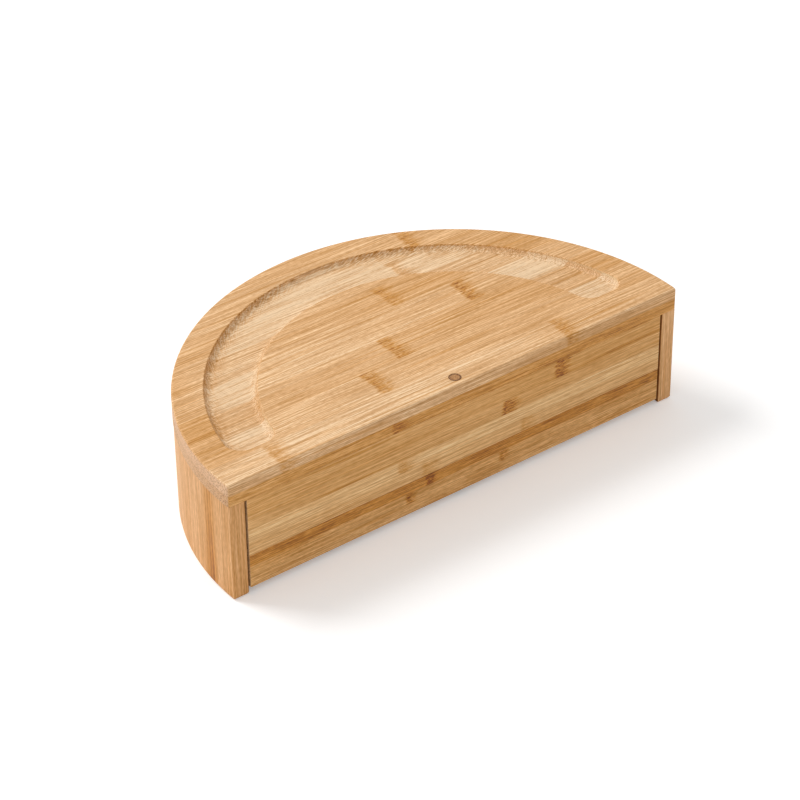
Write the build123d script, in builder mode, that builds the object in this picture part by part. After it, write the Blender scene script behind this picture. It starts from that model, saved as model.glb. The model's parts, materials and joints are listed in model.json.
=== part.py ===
from build123d import *
import os
from math import asin, degrees

# Half-round bamboo serving board with a tray that swings out from under it, closed.
# X runs along the straight front, Y towards the curved back, Z up. The origin is on the
# table under the middle of the closed board. The pin's axis is the centre of every arc.

# Stock that the boards are glued from
ply_thickness = 6.75

# Board
board_radius = 150.0
board_corner_round = 1.2
board_edge_round = 1.1
board_under_round = 0.3

# Groove in the board's top: half a ring with rounded ends, cut with a round-cornered bit
groove_margin = 16.7
groove_width = 29.1
groove_depth = 3.5
groove_front_margin = 19.7
groove_corner_round = 10.0
groove_cove_round = 5.2
groove_bit_rise = 3.0

# Curved wall under the board
wall_height = 60.0
wall_thickness = 9.6
wall_inset = 0.3
wall_corner_round = 0.6
wall_foot_round = 1.6

# Tray: its running gaps, the height of its base over the table, and its pieces
tray_side_gap = 1.1
tray_top_gap = 0.3
tray_lift = 3.5
base_ply_count = 3
front_ply_count = 2
tray_wall_thickness = 8.0
tray_corner_round = 0.5
tray_edge_round = 0.5
seam_chamfer = 0.3
cutlery_bay_depth = 41.0
divider_thickness = 6.75
divider_drop = 8.0

# Glue gap round dowels, plug and other glued or pressed round pieces
glue_gap = 0.04

# Dowels
wall_dowel_radius = 2.0
wall_dowel_in_board = 5.0
wall_dowel_in_wall = 15.0
wall_dowel_count = 7
wall_dowel_first_angle = 6.0
front_dowel_radius = 2.5
front_dowel_in_base = 10.0
front_dowel_in_front = 16.0
front_dowel_pitch = 62.0
front_dowel_count = 4
rim_dowel_radius = 2.0
rim_dowel_in_base = 10.0
rim_dowel_in_wall = 14.0
rim_dowel_count = 5
rim_dowel_first_angle = 14.0
dowel_end_gap = 0.3
dowel_chamfer = 0.4

# Pivot: plug, socket screw, washer and lock nut
plug_radius = 3.5
plug_thickness = 4.5
plug_edge_chamfer = 0.2
screw_radius = 2.0
screw_head_radius = 3.4
screw_head_height = 4.0
screw_hole_gap = 0.1
screw_tip_out = 0.1
screw_tip_chamfer = 0.4
socket_across_flats = 3.0
socket_depth = 2.0
washer_radius = 4.5
washer_thickness = 0.8
nut_across_flats = 7.0
nut_height = 5.0
nut_edge_chamfer = 0.3
nut_recess_radius = 5.2
nut_recess_depth = 8.5

# Flanged bushes pressed into the tray
bush_radius = 3.0
bush_length = 10.0
bush_running_gap = 0.06
flange_radius = 4.5
flange_thickness = 1.0
flange_standing_out = 0.2
face_running_gap = 0.1

# Glides under the tray
glide_radius = 6.0
glide_edge_round = 1.0
glide_stem_radius = 2.0
glide_stem_length = 6.0
glide_margin = 20.0
glide_count = 5
glide_first_angle = 12.0

# Worked out: plan
front_thickness = front_ply_count * ply_thickness
front_y = -front_thickness / 2
pin_y = -(board_radius + front_y) / 2
wall_outer_radius = board_radius - wall_inset
wall_inner_radius = wall_outer_radius - wall_thickness
tray_radius = wall_inner_radius - tray_side_gap
tray_inner_radius = tray_radius - tray_wall_thickness
groove_outer_radius = board_radius - groove_margin
groove_inner_radius = groove_outer_radius - groove_width
divider_front_y = front_thickness / 2 + cutlery_bay_depth
divider_back_y = divider_front_y + divider_thickness

# Worked out: heights
board_middle = wall_height + ply_thickness
board_top = board_middle + ply_thickness
base_top = tray_lift + base_ply_count * ply_thickness
tray_top = wall_height - tray_top_gap
head_top = board_top - plug_thickness
head_seat = head_top - screw_head_height
recess_top = tray_lift + nut_recess_depth
washer_top = recess_top - flange_thickness - face_running_gap
nut_top = washer_top - washer_thickness
nut_bottom = nut_top - nut_height
screw_tip = nut_bottom - screw_tip_out
upper_flange_top = tray_top + flange_standing_out
upper_flange_bottom = upper_flange_top - flange_thickness

# Where the dowels and glides stand, about the pin's axis
wall_dowel_spots = PolarLocations(
    (wall_outer_radius + wall_inner_radius) / 2, wall_dowel_count,
    wall_dowel_first_angle, 180 - 2 * wall_dowel_first_angle, endpoint=True)
rim_dowel_spots = PolarLocations(
    (tray_radius + tray_inner_radius) / 2, rim_dowel_count,
    rim_dowel_first_angle, 180 - 2 * rim_dowel_first_angle, endpoint=True)
front_dowel_spots = GridLocations(front_dowel_pitch, 0, front_dowel_count, 1)
glide_spots = PolarLocations(
    tray_radius - glide_margin, glide_count,
    glide_first_angle, 180 - 2 * glide_first_angle, endpoint=True)
pin_spot = Locations((0, 0))


def level(height):
    """Plane at a height, centred on the pin's axis."""
    return Plane(origin=(0, pin_y, height))


def half_round(radius, cut_y):
    """Face of a disc about the pin, cut straight along cut_y, for use inside a sketch."""
    cut_angle = degrees(asin(cut_y / radius))
    with BuildLine() as outline:
        rim = CenterArc((0, 0), radius, cut_angle, 180 - 2 * cut_angle)
        Line(rim @ 1, rim @ 0)
    make_face(outline.edges())


def cross_strip(radius, low_y, high_y):
    """Face of the band of a disc between low_y and high_y, for use inside a sketch."""
    low_angle = degrees(asin(low_y / radius))
    high_angle = degrees(asin(high_y / radius))
    with BuildLine() as outline:
        right = CenterArc((0, 0), radius, low_angle, high_angle - low_angle)
        left = CenterArc((0, 0), radius, 180 - high_angle, high_angle - low_angle)
        Line(right @ 1, left @ 0)
        Line(left @ 1, right @ 0)
    make_face(outline.edges())


def column(radius, low, high, spots, mode=Mode.ADD):
    """Round columns from low to high at each spot, for use inside a part."""
    with BuildSketch(level(low)) as section:
        with spots:
            Circle(radius)
    extrude(section.sketch, amount=high - low, mode=mode)


def keep(piece, name):
    """Label a finished piece and write it to its own file."""
    piece.part.label = name
    export_step(piece.part, f"parts/{name}.step")


os.makedirs("parts", exist_ok=True)

# The round-cornered bit's whole path, taller than the groove is deep
with BuildPart() as groove_path:
    with BuildSketch(level(board_top - groove_depth)) as groove_outline:
        half_round(groove_outer_radius, front_y + groove_front_margin)
        Circle(groove_inner_radius, mode=Mode.SUBTRACT)
        fillet(groove_outline.vertices(), groove_corner_round)
    extrude(amount=groove_depth + groove_bit_rise)
    groove_floor = groove_path.faces().sort_by(Axis.Z)[0]
    fillet(groove_floor.outer_wire().edges(), groove_cove_round)

# Upper layer of the board, with the groove and the hole for plug and screw head
with BuildPart() as board_top_ply:
    with BuildSketch(level(board_middle)) as top_outline:
        half_round(board_radius, front_y)
        fillet(top_outline.vertices(), board_corner_round)
    extrude(amount=ply_thickness)
    top_face = board_top_ply.faces().sort_by(Axis.Z)[-1]
    fillet(top_face.outer_wire().edges(), board_edge_round)
    add(groove_path.part, mode=Mode.SUBTRACT)
    column(plug_radius + glue_gap, board_middle, board_top, pin_spot, Mode.SUBTRACT)
keep(board_top_ply, "board_top_ply")

# Lower layer of the board, with the seat of the screw head and the blind dowel holes
with BuildPart() as board_under_ply:
    with BuildSketch(level(wall_height)) as under_outline:
        half_round(board_radius, front_y)
        fillet(under_outline.vertices(), board_corner_round)
    extrude(amount=ply_thickness)
    under_face = board_under_ply.faces().sort_by(Axis.Z)[0]
    fillet(under_face.outer_wire().edges(), board_under_round)
    column(plug_radius + glue_gap, head_seat, board_middle, pin_spot, Mode.SUBTRACT)
    column(screw_radius + screw_hole_gap, wall_height, head_seat, pin_spot, Mode.SUBTRACT)
    column(wall_dowel_radius + glue_gap, wall_height,
           wall_height + wall_dowel_in_board + dowel_end_gap, wall_dowel_spots, Mode.SUBTRACT)
keep(board_under_ply, "board_under_ply")

# Curved wall, open at the straight front
with BuildPart() as curved_wall:
    with BuildSketch(level(0)) as wall_outline:
        half_round(wall_outer_radius, front_y)
        Circle(wall_inner_radius, mode=Mode.SUBTRACT)
        fillet(wall_outline.vertices(), wall_corner_round)
    extrude(amount=wall_height)
    foot = curved_wall.faces().sort_by(Axis.Z)[0]
    fillet(foot.outer_wire().edges(), wall_foot_round)
    column(wall_dowel_radius + glue_gap, wall_height - wall_dowel_in_wall - dowel_end_gap,
           wall_height, wall_dowel_spots, Mode.SUBTRACT)
keep(curved_wall, "curved_wall")

with BuildPart() as wall_dowels:
    column(wall_dowel_radius, wall_height - wall_dowel_in_wall,
           wall_height + wall_dowel_in_board, wall_dowel_spots)
    chamfer(wall_dowels.edges().filter_by(GeomType.CIRCLE), dowel_chamfer)
keep(wall_dowels, "wall_dowels")

# Plug over the screw, flush with the board
with BuildPart() as pivot_plug:
    column(plug_radius, head_top, board_top, pin_spot)
    chamfer(pivot_plug.faces().sort_by(Axis.Z)[-1].edges(), plug_edge_chamfer)
keep(pivot_plug, "pivot_plug")

# Socket screw from the board down through the tray to the nut
with BuildPart() as pivot_screw:
    column(screw_head_radius, head_seat, head_top, pin_spot)
    column(screw_radius, screw_tip, head_seat, pin_spot)
    chamfer(pivot_screw.faces().sort_by(Axis.Z)[0].edges(), screw_tip_chamfer)
    with BuildSketch(level(head_top)):
        RegularPolygon(socket_across_flats / 2, 6, major_radius=False)
    extrude(amount=-socket_depth, mode=Mode.SUBTRACT)
keep(pivot_screw, "pivot_screw")

with BuildPart() as pivot_washer:
    column(washer_radius, nut_top, washer_top, pin_spot)
    column(screw_radius + screw_hole_gap, nut_top, washer_top, pin_spot, Mode.SUBTRACT)
keep(pivot_washer, "pivot_washer")

with BuildPart() as pivot_nut:
    with BuildSketch(level(nut_bottom)):
        RegularPolygon(nut_across_flats / 2, 6, major_radius=False)
        Circle(screw_radius + glue_gap, mode=Mode.SUBTRACT)
    extrude(amount=nut_height)
    nut_under = pivot_nut.faces().sort_by(Axis.Z)[0]
    chamfer(nut_under.outer_wire().edges(), nut_edge_chamfer)
keep(pivot_nut, "pivot_nut")

# Base of the tray: layers of the same stock, all with the holes that reach them
for layer in range(base_ply_count):
    with BuildPart() as base_ply:
        with BuildSketch(level(tray_lift + layer * ply_thickness)) as base_outline:
            half_round(tray_radius, front_y)
            fillet(base_outline.vertices(), tray_corner_round)
        extrude(amount=ply_thickness)
        column(bush_radius + glue_gap, tray_lift, base_top, pin_spot, Mode.SUBTRACT)
        column(nut_recess_radius, tray_lift, recess_top, pin_spot, Mode.SUBTRACT)
        column(front_dowel_radius + glue_gap, base_top - front_dowel_in_base - dowel_end_gap,
               base_top, front_dowel_spots, Mode.SUBTRACT)
        column(rim_dowel_radius + glue_gap, base_top - rim_dowel_in_base - dowel_end_gap,
               base_top, rim_dowel_spots, Mode.SUBTRACT)
        column(glide_stem_radius + glue_gap, tray_lift,
               tray_lift + glide_stem_length + dowel_end_gap, glide_spots, Mode.SUBTRACT)
    keep(base_ply, f"tray_base_ply_{layer + 1}")

# Front rail of the tray: the screw and the upper bush pass through the middle of its thickness
with BuildPart() as tray_front:
    with BuildSketch(level(base_top)) as front_outline:
        cross_strip(tray_radius, front_y, -front_y)
        fillet(front_outline.vertices().group_by(Axis.Y)[0], tray_corner_round)
    extrude(amount=tray_top - base_top)
    front_edges = tray_front.edges().filter_by(Axis.X).group_by(Axis.Y)[0].sort_by(Axis.Z)
    fillet(front_edges[-1], tray_edge_round)
    chamfer(front_edges[0], seam_chamfer)
    column(bush_radius + glue_gap, base_top, tray_top, pin_spot, Mode.SUBTRACT)
    column(flange_radius + glue_gap, upper_flange_bottom, tray_top, pin_spot, Mode.SUBTRACT)
    column(front_dowel_radius + glue_gap, base_top,
           base_top + front_dowel_in_front + dowel_end_gap, front_dowel_spots, Mode.SUBTRACT)
keep(tray_front, "tray_front")

# Curved back wall of the tray, glued against the back of the front rail
with BuildPart() as tray_wall:
    with BuildSketch(level(base_top)):
        half_round(tray_radius, -front_y)
        Circle(tray_inner_radius, mode=Mode.SUBTRACT)
    extrude(amount=tray_top - base_top)
    rim = tray_wall.faces().sort_by(Axis.Z)[-1]
    fillet(rim.edges().filter_by(GeomType.CIRCLE), tray_edge_round)
    column(rim_dowel_radius + glue_gap, base_top,
           base_top + rim_dowel_in_wall + dowel_end_gap, rim_dowel_spots, Mode.SUBTRACT)
keep(tray_wall, "tray_wall")

# Partition between the cutlery bay and the dish bay, glued in
with BuildPart() as tray_divider:
    with BuildSketch(level(base_top)):
        cross_strip(tray_inner_radius - glue_gap, divider_front_y, divider_back_y)
    extrude(amount=tray_top - divider_drop - base_top)
    long_edges = tray_divider.faces().sort_by(Axis.Z)[-1].edges().filter_by(Axis.X)
    fillet(long_edges, tray_edge_round)
keep(tray_divider, "tray_divider")

with BuildPart() as front_dowels:
    column(front_dowel_radius, base_top - front_dowel_in_base,
           base_top + front_dowel_in_front, front_dowel_spots)
    chamfer(front_dowels.edges().filter_by(GeomType.CIRCLE), dowel_chamfer)
keep(front_dowels, "front_dowels")

with BuildPart() as rim_dowels:
    column(rim_dowel_radius, base_top - rim_dowel_in_base,
           base_top + rim_dowel_in_wall, rim_dowel_spots)
    chamfer(rim_dowels.edges().filter_by(GeomType.CIRCLE), dowel_chamfer)
keep(rim_dowels, "rim_dowels")

# Bushes: the upper flange holds the tray off the board, the lower one runs on the washer
with BuildPart() as upper_bush:
    column(flange_radius, upper_flange_bottom, upper_flange_top, pin_spot)
    column(bush_radius, upper_flange_bottom - bush_length, upper_flange_bottom, pin_spot)
    column(screw_radius + bush_running_gap, upper_flange_bottom - bush_length,
           upper_flange_top, pin_spot, Mode.SUBTRACT)
keep(upper_bush, "upper_bush")

with BuildPart() as lower_bush:
    column(flange_radius, recess_top - flange_thickness, recess_top, pin_spot)
    column(bush_radius, recess_top, recess_top + bush_length, pin_spot)
    column(screw_radius + bush_running_gap, recess_top - flange_thickness,
           recess_top + bush_length, pin_spot, Mode.SUBTRACT)
keep(lower_bush, "lower_bush")

# Glides that carry the tray on the table, each with a stem in the base
with BuildPart() as tray_glides:
    column(glide_radius, 0, tray_lift, glide_spots)
    glide_feet = tray_glides.faces().filter_by(Axis.Z).group_by(Axis.Z)[0]
    fillet(glide_feet.edges(), glide_edge_round)
    column(glide_stem_radius, tray_lift, tray_lift + glide_stem_length, glide_spots)
keep(tray_glides, "tray_glides")
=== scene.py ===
import json
from math import asin, ceil, cos, hypot, pi, radians, sin, sqrt
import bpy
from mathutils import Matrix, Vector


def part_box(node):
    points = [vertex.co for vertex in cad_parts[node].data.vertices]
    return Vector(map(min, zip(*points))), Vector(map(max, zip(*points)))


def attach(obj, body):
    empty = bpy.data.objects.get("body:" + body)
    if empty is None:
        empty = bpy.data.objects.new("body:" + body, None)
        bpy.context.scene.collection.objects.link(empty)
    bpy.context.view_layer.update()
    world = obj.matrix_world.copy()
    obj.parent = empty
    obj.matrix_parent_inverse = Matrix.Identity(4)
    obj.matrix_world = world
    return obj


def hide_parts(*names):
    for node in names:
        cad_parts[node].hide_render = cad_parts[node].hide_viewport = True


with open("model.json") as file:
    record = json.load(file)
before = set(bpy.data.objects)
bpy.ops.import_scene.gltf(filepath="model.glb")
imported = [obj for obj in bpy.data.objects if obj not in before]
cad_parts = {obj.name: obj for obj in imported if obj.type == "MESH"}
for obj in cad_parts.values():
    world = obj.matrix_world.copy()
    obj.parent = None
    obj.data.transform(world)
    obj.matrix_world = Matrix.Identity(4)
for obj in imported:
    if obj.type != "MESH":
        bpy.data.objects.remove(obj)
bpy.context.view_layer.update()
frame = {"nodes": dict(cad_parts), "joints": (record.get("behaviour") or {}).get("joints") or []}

from types import SimpleNamespace

import bmesh
import bpy
from mathutils import Euler, Matrix, Vector

# Half-round bamboo serving board, closed: board, curved wall and the tray that swings on a pin.
# Metres, in the part's own frame. Every arc is centred on the pin's axis.
mm = 0.001
pin = Vector(frame["joints"][0]["pos_m"])


def reach(node):
    """Nearest and farthest distance of a node's surface from the pin's axis, in plan."""
    spots = [v.co - pin for v in frame["nodes"][node].data.vertices]
    distances = [hypot(spot.x, spot.y) for spot in spots]
    return min(distances), max(distances)


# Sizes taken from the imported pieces
board_radius = reach("board_under_ply")[1]
wall_inner_radius, wall_outer_radius = reach("curved_wall")
tray_inner_radius, tray_radius = reach("tray_wall")
front_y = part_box("board_under_ply")[0].y
rail_back_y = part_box("tray_front")[1].y
divider_low, divider_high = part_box("tray_divider")
wall_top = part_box("board_under_ply")[0].z
board_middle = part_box("board_top_ply")[0].z
board_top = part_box("board_top_ply")[1].z
base_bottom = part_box("tray_base_ply_1")[0].z
base_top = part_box("tray_front")[0].z
tray_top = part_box("tray_front")[1].z
ply = board_top - board_middle

# Small sizes of the finished edges
board_corner_round = 1.2 * mm
board_edge_round = 1.1 * mm
board_under_chamfer = 0.1 * mm
wall_corner_round = 0.6 * mm
wall_foot_round = 1.6 * mm
tray_corner_round = 0.3 * mm
tray_edge_round = 0.5 * mm
rail_edge_round = 0.06 * mm
seam_chamfer = 0.3 * mm

# Only a hair line shows between the tray's rail and the board
rail_gap = 0.08 * mm
rail_top = wall_top - rail_gap

# Groove in the board
groove_margin = 16.7 * mm
groove_width = 29.1 * mm
groove_front_margin = 19.7 * mm
groove_depth = 3.5 * mm
groove_bit_rise = 3.0 * mm
groove_corner_round = 10.0 * mm
groove_cove_round = 5.2 * mm
groove_rim_round = 0.45 * mm
groove_outer_radius = board_radius - groove_margin
groove_inner_radius = groove_outer_radius - groove_width
groove_front_y = front_y + groove_front_margin
groove_floor_z = board_top - groove_depth

# The groove's rim lies this near the pin, and the milled wood shows under this height
rim_reach = groove_outer_radius + 1.0 * mm
milled_top = board_top - 0.5 * mm

# Holes on the pin's axis, and what sits in them
glue_gap = 0.04 * mm
plug_radius = reach("pivot_plug")[1]
plug_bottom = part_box("pivot_plug")[0].z
plug_sink = 0.05 * mm
plug_top = board_top - plug_sink
plug_edge_round = 0.35 * mm
plug_hole_radius = plug_radius + glue_gap
screw_head_height = 4.0 * mm
screw_head_seat = plug_bottom - screw_head_height
screw_hole_radius = 2.1 * mm
bush_radius = 3.0 * mm
bush_hole_radius = bush_radius + glue_gap
flange_hole_radius = reach("upper_bush")[1] + glue_gap
flange_thickness = 1.0 * mm
flange_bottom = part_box("upper_bush")[1].z - flange_thickness
nut_recess_radius = 5.2 * mm
nut_recess_depth = 8.5 * mm
nut_recess_top = base_bottom + nut_recess_depth

# Glides under the tray
glide_radius = 6.0 * mm
glide_edge_round = 1.0 * mm
glide_margin = 20.0 * mm
glide_ring_radius = tray_radius - glide_margin
glide_angles = (12, 51, 90, 129, 168)

# How far a chord may leave its arc, and how near two points or places count as the same
chord_height = 0.01 * mm
merge_distance = 1e-6
cut_merge_distance = 1e-7
same_place = 1e-5

# Least angle between the faces at a corner to round, at the groove's rim, and at a sharp edge
corner_angle = radians(35)
rim_angle = radians(10)
sharp_angle = radians(40)

# Depth of the band at a straight front that holds its corners
front_band = 3.0 * mm

# How far a cutter runs past the face that it opens
overrun = 2.0 * mm


def draw_outline(solid, arcs, z):
    """Draws arcs about the pin by spinning points and joins them into one closed face.

    Each arc is its centre's x and y from the pin, its radius, and its first and swept angle.
    """
    ends = []
    for x, y, radius, start, turn in arcs:
        centre = Vector((pin.x + x, pin.y + y, z))
        first = solid.verts.new(centre + Vector((radius * cos(start), radius * sin(start), 0)))
        steps = ceil(abs(turn) / sqrt(8 * chord_height / radius))
        spun = bmesh.ops.spin(solid, geom=[first], cent=centre, axis=(0, 0, 1), angle=turn,
                              steps=steps)
        last = [part for part in spun["geom_last"] if isinstance(part, bmesh.types.BMVert)][0]
        ends.append((first, last))
    for (_, last), (first, _) in zip(ends, ends[1:] + ends[:1]):
        if (last.co - first.co).length > merge_distance:
            solid.edges.new((last, first))
    bmesh.ops.remove_doubles(solid, verts=solid.verts[:], dist=merge_distance)
    bmesh.ops.contextual_create(solid, geom=solid.edges[:])


def plate(radius, low_y, low_z, high_z, corner=0.0, inner_radius=None, inner_corner=0.0,
          high_y=None):
    """A plate about the pin: a disc or ring cut straight at low_y, with rounded corners there.

    With high_y it is cut straight there too.
    """
    front = low_y - pin.y
    lean = asin((front + corner) / (radius - corner))
    corner_x = (radius - corner) * cos(lean)
    corner_y = front + corner
    arcs = [(0, 0, radius, lean, pi - 2 * lean)]
    if corner:
        arcs.insert(0, (corner_x, corner_y, corner, -pi / 2, pi / 2 + lean))
        arcs.append((-corner_x, corner_y, corner, pi - lean, pi / 2 + lean))
    if inner_radius:
        inner_lean = asin((front + inner_corner) / (inner_radius + inner_corner))
        inner_x = (inner_radius + inner_corner) * cos(inner_lean)
        inner_y = front + inner_corner
        if inner_corner:
            arcs.append((-inner_x, inner_y, inner_corner, -pi / 2, pi / 2 - inner_lean))
        arcs.append((0, 0, inner_radius, pi - inner_lean, 2 * inner_lean - pi))
        if inner_corner:
            arcs.append((inner_x, inner_y, inner_corner, pi + inner_lean, pi / 2 - inner_lean))
    solid = bmesh.new()
    draw_outline(solid, arcs, low_z)
    if high_y is not None:
        everything = solid.verts[:] + solid.edges[:] + solid.faces[:]
        bmesh.ops.bisect_plane(solid, geom=everything, dist=cut_merge_distance,
                               plane_co=(0, high_y, 0), plane_no=(0, 1, 0), clear_outer=True)
    raise_up(solid, high_z - low_z)
    return solid


def raise_up(solid, height):
    """Gives a flat face its height."""
    raised = bmesh.ops.extrude_face_region(solid, geom=solid.faces[:])
    lifted = [part for part in raised["geom"] if isinstance(part, bmesh.types.BMVert)]
    bmesh.ops.translate(solid, verts=lifted, vec=(0, 0, height))
    bmesh.ops.recalc_face_normals(solid, faces=solid.faces[:])


def near(value, target):
    """Whether two places on an axis are the same."""
    return abs(value - target) < same_place


def edges_at(solid, z, y=None, not_y=None):
    """Level edges at a height, all of them, or those on the line y, or those off not_y."""
    found = [e for e in solid.edges if all(near(v.co.z, z) for v in e.verts)]
    if y is not None:
        found = [e for e in found if all(near(v.co.y, y) for v in e.verts)]
    if not_y is not None:
        found = [e for e in found if not all(near(v.co.y, not_y) for v in e.verts)]
    return found


def upright_corners(solid):
    """Sharp edges that rise at the straight front, with their run over a rounded foot or top."""
    return [e for e in solid.edges
            if e.calc_face_angle(0) > corner_angle
            and not near(e.verts[0].co.z, e.verts[1].co.z)
            and all(v.co.y < front_y + front_band for v in e.verts)]


def round_over(solid, edges, size, segments=4):
    """Rounds edges over, or cuts a plain chamfer with one segment."""
    bmesh.ops.bevel(solid, geom=edges, offset=size, offset_type="OFFSET", segments=segments,
                    profile=0.5, affect="EDGES", material=-1, clamp_overlap=True)


def carve(solid, cutter):
    """Cuts one closed shape out of another and returns the result."""
    holders = []
    for shape in (solid, cutter):
        mesh = bpy.data.meshes.new("carving")
        shape.to_mesh(mesh)
        shape.free()
        holders.append(bpy.data.objects.new("carving", mesh))
        bpy.context.scene.collection.objects.link(holders[-1])
    cut = holders[0].modifiers.new("cut", "BOOLEAN")
    cut.operation = "DIFFERENCE"
    cut.solver = "EXACT"
    cut.object = holders[1]
    bpy.context.view_layer.update()
    graph = bpy.context.evaluated_depsgraph_get()
    result = bmesh.new()
    result.from_mesh(holders[0].evaluated_get(graph).to_mesh())
    for holder in holders:
        bpy.data.objects.remove(holder)
    bmesh.ops.remove_doubles(result, verts=result.verts[:], dist=cut_merge_distance)
    return result


def rod(radius, low_z, high_z):
    """A round rod on the pin's axis."""
    solid = bmesh.new()
    middle = Matrix.Translation((pin.x, pin.y, (low_z + high_z) / 2))
    bmesh.ops.create_cone(solid, cap_ends=True, segments=64, radius1=radius, radius2=radius,
                          depth=high_z - low_z, matrix=middle)
    return solid


def drill(solid, radius, low_z, high_z):
    """Cuts a round hole on the pin's axis."""
    return carve(solid, rod(radius, low_z, high_z))


def make_piece(solid, name, body, material, nodes):
    """Turns a finished solid into a piece that rides on a body and stands for CAD nodes."""
    bmesh.ops.recalc_face_normals(solid, faces=solid.faces[:])
    mesh = bpy.data.meshes.new(name)
    solid.to_mesh(mesh)
    solid.free()
    mesh.polygons.foreach_set("use_smooth", [True] * len(mesh.polygons))
    mesh.set_sharp_from_angle(angle=sharp_angle)
    mesh.materials.append(material)
    piece = bpy.data.objects.new(name, mesh)
    bpy.context.scene.collection.objects.link(piece)
    weighted = piece.modifiers.new("even shading", "WEIGHTED_NORMAL")
    weighted.keep_sharp = True
    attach(piece, body)
    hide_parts(*nodes)


def linear(hex_colour):
    """An sRGB hex colour as linear RGBA."""
    channels = [int(hex_colour[i:i + 2], 16) / 255 for i in (1, 3, 5)]
    return [c / 12.92 if c <= 0.04045 else ((c + 0.055) / 1.055) ** 2.4 for c in channels] + [1.0]


def add(tree, kind, inputs=None, out=0, stops=None, interpolation="LINEAR", **settings):
    """Adds one node with its settings, values and links, and returns one of its outputs."""
    node = tree.nodes.new(kind)
    for key, value in settings.items():
        setattr(node, key, value)
    for key, value in (inputs or {}).items():
        if isinstance(value, bpy.types.NodeSocket):
            tree.links.new(value, node.inputs[key])
        else:
            node.inputs[key].default_value = value
    if stops:
        node.color_ramp.interpolation = interpolation
        while len(node.color_ramp.elements) < len(stops):
            node.color_ramp.elements.new(1.0)
        for element, (place, colour) in zip(node.color_ramp.elements, stops):
            element.position = place
            element.color = colour
    return node.outputs[out]


def new_material(name):
    """An empty material with its node tree, and its output's surface input."""
    material = bpy.data.materials.new(name)
    material.use_nodes = True
    material.node_tree.nodes.clear()
    output = material.node_tree.nodes.new("ShaderNodeOutputMaterial")
    return material, material.node_tree, output.inputs["Surface"]


# Bamboo: tones from the brown of knots and fibre bundles to the pale inner wood of a stalk
bamboo_tones = [(place, linear(colour)) for place, colour in (
    (0.0, "#8C4C0C"), (0.2, "#B26F24"), (0.4, "#CA8C3B"), (0.6, "#D59E5F"),
    (0.75, "#DFAE79"), (0.88, "#EABD8A"), (1.0, "#F0CFA6"))]
# Cut fibre ends, pale and brown: sawn and planed, and where the groove's cutter crossed them
end_grain = linear("#EFC8A2"), linear("#B98A64")
milled_end_grain = linear("#EBCFA0"), linear("#A47645")

# Sizes of the wood's figure, in mm. A strip's figure starts up to strip_jump further on
strip_jump = 900.0
fibre_wander, knot_wander = 2.5, 2.5
bundle_length, bundle_spacing = 30.0, 1.05
tear_length, tear_width = 4.5, 0.6
# How the tears lean to the groove's rim
tear_slant = radians(-24)


def streaks(tree, fibres, length, width, detail=2.0):
    """Noise drawn out along the fibres, about so long and so wide in mm."""
    place = add(tree, "ShaderNodeVectorMath", {0: fibres, 1: (1 / length, 1 / width, 1 / width)},
                operation="MULTIPLY")
    return add(tree, "ShaderNodeTexNoise", {"Vector": place, "Scale": 1.0, "Detail": detail})


def wood_place(tree, direction):
    """Where a point of the wood lies, in mm from the pin, and how it faces.

    along, across and depth run along the fibres, across the strips and through them, and
    end_facing says how far the surface cuts across the fibres. A stain follows stain_along.
    """
    spot = add(tree, "ShaderNodeTexCoord", out="Object")
    about_pin = add(tree, "ShaderNodeVectorMath", {0: spot, 1: pin}, operation="SUBTRACT")
    in_mm = add(tree, "ShaderNodeVectorMath", {0: about_pin, "Scale": 1 / mm}, operation="SCALE")
    x, y, z = add(tree, "ShaderNodeSeparateXYZ", {0: in_mm}).node.outputs
    normal = add(tree, "ShaderNodeTexCoord", out="Normal")
    facing_x, facing_y, facing_z = add(tree, "ShaderNodeSeparateXYZ", {0: normal}).node.outputs
    square = add(tree, "ShaderNodeMath", {0: x, 1: x}, operation="MULTIPLY")
    squares = add(tree, "ShaderNodeMath", {0: y, 1: y, 2: square}, operation="MULTIPLY_ADD")
    distance = add(tree, "ShaderNodeMath", {0: squares}, operation="SQRT")
    place = SimpleNamespace(x=x, y=y, z=z, distance=distance, facing_y=facing_y,
                            facing_z=facing_z)
    if direction == "round the wall":
        angle = add(tree, "ShaderNodeMath", {0: x, 1: y}, operation="ARCTAN2")
        way_round = add(tree, "ShaderNodeMath", {0: angle, 1: wall_outer_radius / mm},
                        operation="MULTIPLY")
        place.along, place.across, place.depth = z, way_round, distance
        place.end_facing, place.stain_along = facing_z, way_round
    elif direction == "along x, strips up":
        place.along, place.across, place.depth = x, z, y
        place.end_facing, place.stain_along = facing_x, z
    else:
        place.along, place.across, place.depth = x, y, z
        place.end_facing, place.stain_along = facing_x, z
    return place


# Where a strip's tone passes from its left end's to its left half's and its right half's, in mm
left_half_from, left_half_to = -128.0, -106.0
right_half_from, right_half_to = -70.0, 110.0
# A knot's place is stored in a colour, as a share of this length about the middle
knot_span = 400.0


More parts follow.
